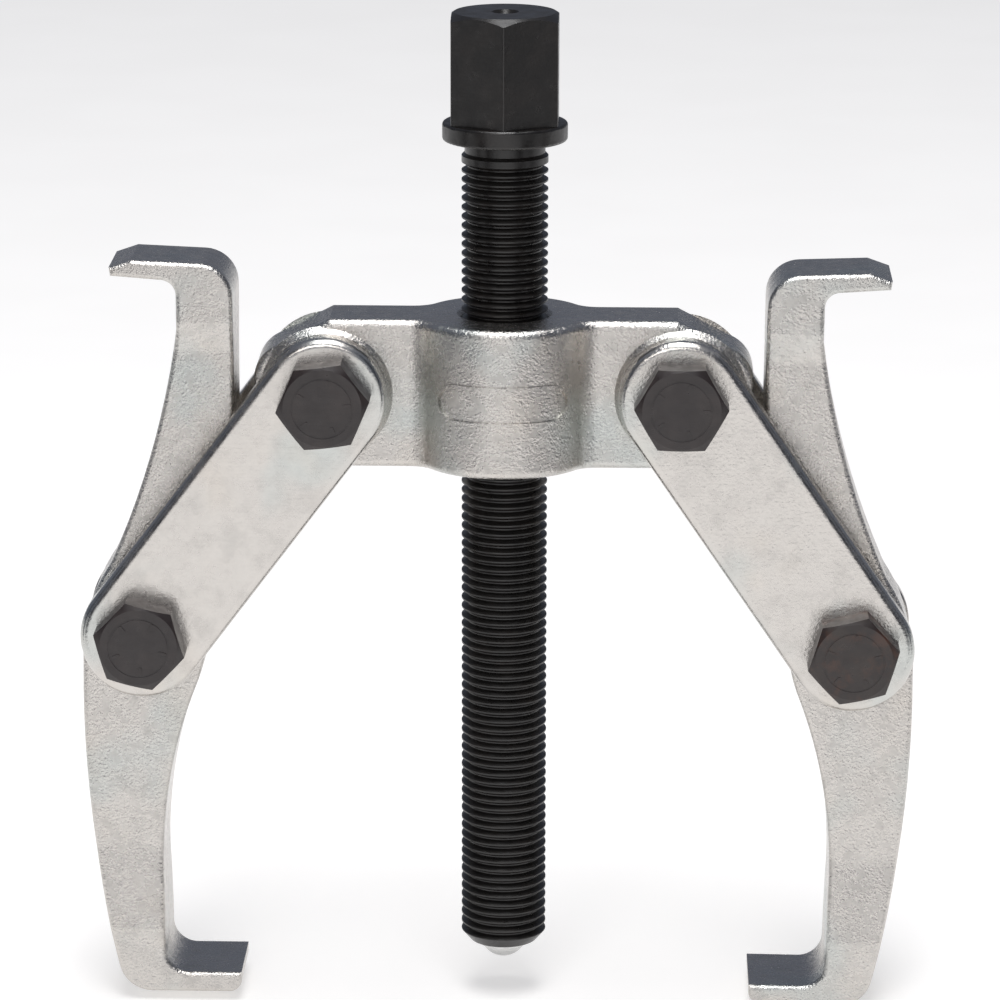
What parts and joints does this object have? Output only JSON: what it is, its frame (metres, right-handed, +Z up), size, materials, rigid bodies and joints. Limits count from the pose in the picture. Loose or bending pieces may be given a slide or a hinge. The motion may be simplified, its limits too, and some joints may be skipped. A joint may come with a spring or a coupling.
{
  "type": "gear puller",
  "caption": "Two-arm gear puller: a forged crosshead with a hex-headed forcing screw and ball tip, and paired links that carry reversible hooked arms.",
  "frame": {"origin": "lowest point of the ball in the tip of the forcing screw, on the screw's axis", "axes": "+Z up along the forcing screw towards its drive hex, +X to the right arm, +Y to the rear, where the nuts are"},
  "size_m": [0.1348, 0.0404, 0.1633],
  "materials": {
    "forging_steel": "zinc plated over a blasted forging, satin",
    "link_steel": "zinc plated, satin",
    "screw_steel": "black oxide, oiled",
    "bolt_steel": "dark brown-black oxide",
    "nut_steel": "zinc plated",
    "ball_steel": "polished hardened steel",
    "nylon": "nylon insert"
  },
  "bodies": {
    "bridge": {"bridge": "forging_steel"},
    "pressure_ball": {"pressure_ball": "ball_steel"},
    "forcing_screw": {"forcing_screw": "screw_steel"},
    "left_links": {"left_front_link": "link_steel", "left_rear_link": "link_steel", "left_upper_bolt": "bolt_steel", "left_upper_nut": "nut_steel", "left_upper_nut_ring": "nylon", "left_lower_bolt": "bolt_steel", "left_lower_nut": "nut_steel", "left_lower_nut_ring": "nylon"},
    "left_arm": {"left_arm": "forging_steel"},
    "right_links": {"right_front_link": "link_steel", "right_rear_link": "link_steel", "right_upper_bolt": "bolt_steel", "right_upper_nut": "nut_steel", "right_upper_nut_ring": "nylon", "right_lower_bolt": "bolt_steel", "right_lower_nut": "nut_steel", "right_lower_nut_ring": "nylon"},
    "right_arm": {"right_arm": "forging_steel"}
  },
  "joints": [
    {"name": "screw_feed", "type": "slide", "parent": "bridge", "child": "pressure_ball", "axis": [0, 0, 1], "range_m": [-0.025, 0.075]},
    {"name": "screw_turn", "type": "hinge", "parent": "pressure_ball", "child": "forcing_screw", "pos_m": [0, 0, 0], "axis": [0, 0, 1], "range_deg": [-6001, 18001]},
    {"name": "left_links_swing", "type": "hinge", "parent": "bridge", "child": "left_links", "pos_m": [-0.0284, 0, 0.0969], "axis": [0, 1, 0], "range_deg": [-4, 40]},
    {"name": "left_arm_swing", "type": "hinge", "parent": "left_links", "child": "left_arm", "pos_m": [-0.05818, 0, 0.05724], "axis": [0, 1, 0], "range_deg": [-24, 1.5]},
    {"name": "right_links_swing", "type": "hinge", "parent": "bridge", "child": "right_links", "pos_m": [0.0284, 0, 0.0969], "axis": [0, -1, 0], "range_deg": [-4, 40]},
    {"name": "right_arm_swing", "type": "hinge", "parent": "right_links", "child": "right_arm", "pos_m": [0.05635, 0, 0.05593], "axis": [0, -1, 0], "range_deg": [-24, 1.5]}
  ],
  "couplings": [
    {"joint": "screw_turn", "follows": "screw_feed", "rad_per_m": 4188.8}
  ]
}
